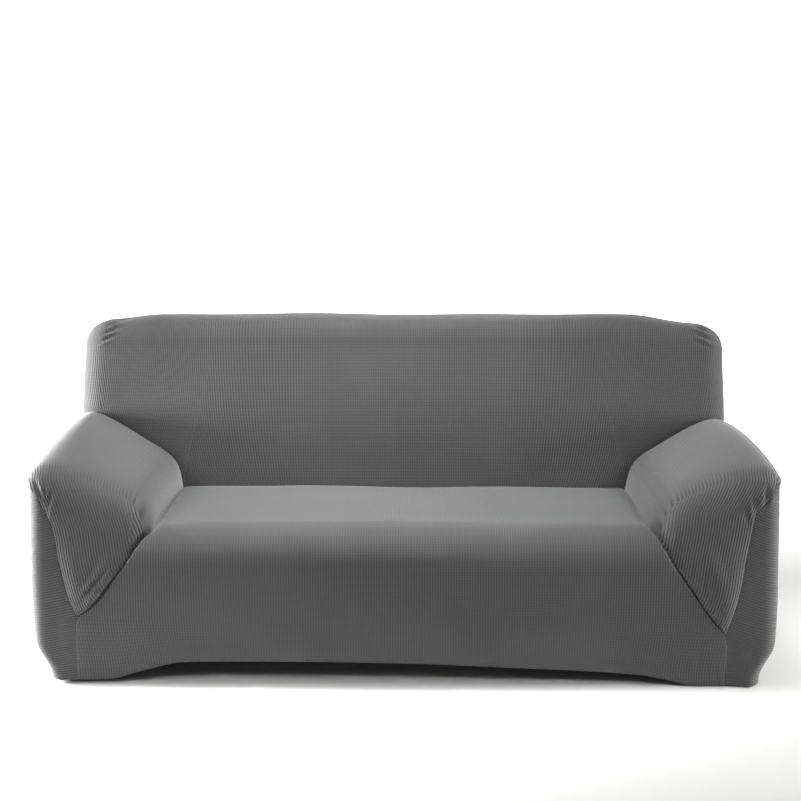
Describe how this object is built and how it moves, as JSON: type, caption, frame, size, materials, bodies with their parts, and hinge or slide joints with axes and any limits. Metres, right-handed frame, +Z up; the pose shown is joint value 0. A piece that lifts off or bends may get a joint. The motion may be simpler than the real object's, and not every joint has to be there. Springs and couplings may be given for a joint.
{
  "type": "sofa slipcover",
  "caption": "Fitted stretch-knit slipcover for a sofa: hollow shell with seat, back, soft arms, triangular arm fronts and a gently arched hem.",
  "frame": {"origin": "bottom centre of the cover, on the floor under the middle of its footprint", "axes": "+Z up, front of the sofa at -Y, +X to the right as seen from the front"},
  "size_m": [2.0184, 0.8918, 0.925],
  "materials": {
    "seat_and_front_knit": "matt grey stretch knit",
    "inside_back_knit": "matt grey stretch knit",
    "arm_left_knit": "matt grey stretch knit",
    "arm_right_knit": "matt grey stretch knit",
    "side_left_knit": "matt grey stretch knit",
    "side_right_knit": "matt grey stretch knit",
    "outside_back_knit": "matt grey stretch knit"
  },
  "bodies": {
    "root": {"seat_and_front": "seat_and_front_knit", "inside_back": "inside_back_knit", "arm_left": "arm_left_knit", "arm_right": "arm_right_knit", "side_left": "side_left_knit", "side_right": "side_right_knit", "outside_back": "outside_back_knit"}
  },
  "joints": []
}
